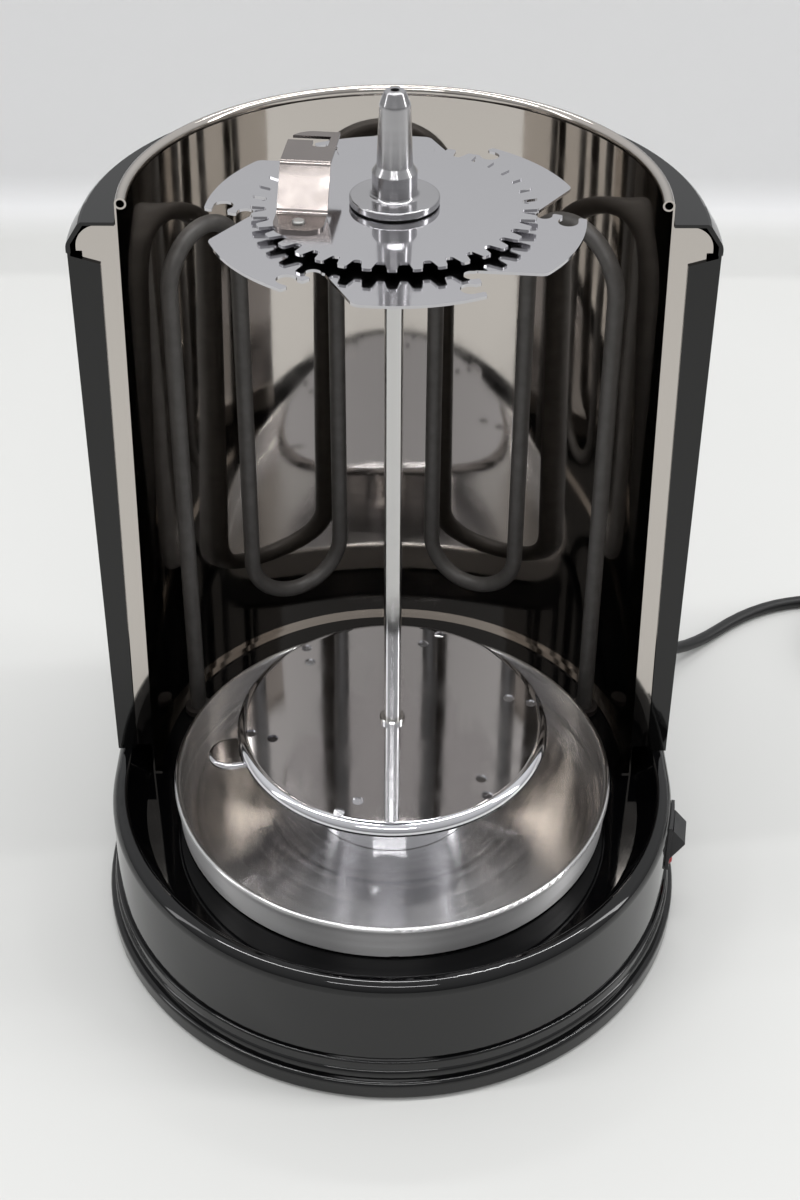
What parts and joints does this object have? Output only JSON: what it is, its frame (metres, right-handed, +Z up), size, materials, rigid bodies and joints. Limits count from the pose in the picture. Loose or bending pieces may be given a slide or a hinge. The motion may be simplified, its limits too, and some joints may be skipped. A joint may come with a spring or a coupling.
{
  "type": "electric skewer grill",
  "caption": "Upright electric grill with a turning skewer carousel in front of a half-round polished reflector with a bent heater tube, over a drip tray in a round black base.",
  "frame": {"origin": "where the carousel's axis meets the table", "axes": "+Z up along the carousel's axis, +X to the right of a user who stands in front, +Y back into the tower"},
  "size_m": [0.5285, 0.3634, 0.4165],
  "materials": {
    "gloss_black_moulding": "gloss black moulded plastic, fine texture",
    "black_paint": "semi-gloss black paint on sheet steel",
    "polished_stainless": "mirror-polished stainless sheet",
    "tray_stainless": "bright stainless with a turned grain",
    "zinc_steel": "plain zinc-plated steel",
    "turned_aluminium": "satin turned aluminium",
    "element_steel": "matte dark oxide on the heater tube",
    "ceramic": "unglazed white ceramic",
    "switch_black": "satin dark grey plastic",
    "lamp_red": "clear red lens",
    "black_rubber": "matte black rubber",
    "cord_black": "satin black cord jacket",
    "plug_black": "satin black moulded plug",
    "pin_nickel": "nickel-plated brass",
    "motor_steel": "plain steel",
    "brass": "turned brass",
    "wire_jacket": "silicone wire sleeve"
  },
  "bodies": {
    "base": {"base_housing": "gloss_black_moulding", "base_ring": "gloss_black_moulding", "base_feet": "black_rubber", "base_screws": "zinc_steel", "drive_motor": "motor_steel", "motor_screws": "zinc_steel", "shaft_bush": "brass", "outer_shell": "black_paint", "shell_screws": "zinc_steel", "top_cap": "gloss_black_moulding", "reflector": "polished_stainless", "heater": "element_steel", "heater_bushes": "ceramic", "switch_body": "switch_black", "indicator_lamp": "lamp_red", "terminal_block": "ceramic", "thermal_cutout": "zinc_steel", "internal_wires": "wire_jacket", "strain_relief": "black_rubber", "cord_lead": "cord_black", "cord_coil": "cord_black", "cord_tail": "cord_black", "plug_body": "plug_black", "plug_pins": "pin_nickel"},
    "drive": {"motor_shaft": "motor_steel", "drive_coupling": "zinc_steel"},
    "tray": {"drip_tray": "tray_stainless"},
    "carousel": {"lower_dish": "polished_stainless", "dish_cup": "polished_stainless", "dish_socket": "zinc_steel", "dish_tab": "polished_stainless", "centre_rod": "polished_stainless", "rod_collar": "polished_stainless", "hook_plate": "polished_stainless", "gear_spacer": "turned_aluminium", "hub_washer": "black_rubber", "top_hub": "turned_aluminium"},
    "gear": {"sun_gear": "polished_stainless", "gear_bracket": "polished_stainless", "bracket_rivet": "zinc_steel"},
    "rocker": {"switch_rocker": "switch_black"}
  },
  "joints": [
    {"name": "drive_spin", "type": "hinge", "parent": "base", "child": "drive", "pos_m": [0, 0, 0.05], "axis": [0, 0, 1], "continuous": true},
    {"name": "carousel_lift", "type": "slide", "parent": "drive", "child": "carousel", "axis": [0, 0, 1], "range_m": [0, 0.1]},
    {"name": "tray_lift", "type": "slide", "parent": "base", "child": "tray", "axis": [0, 0, 1], "range_m": [0, 0.1]},
    {"name": "gear_spin", "type": "hinge", "parent": "carousel", "child": "gear", "pos_m": [0, 0, 0.3686], "axis": [0, 0, 1], "continuous": true},
    {"name": "rocker_tilt", "type": "hinge", "parent": "base", "child": "rocker", "pos_m": [0.1295, -0.02284, 0.0475], "axis": [0.1736, 0.9848, 0], "range_deg": [0, 14]}
  ],
  "couplings": [
    {"joint": "tray_lift", "follows": "carousel_lift", "ratio": 1}
  ]
}
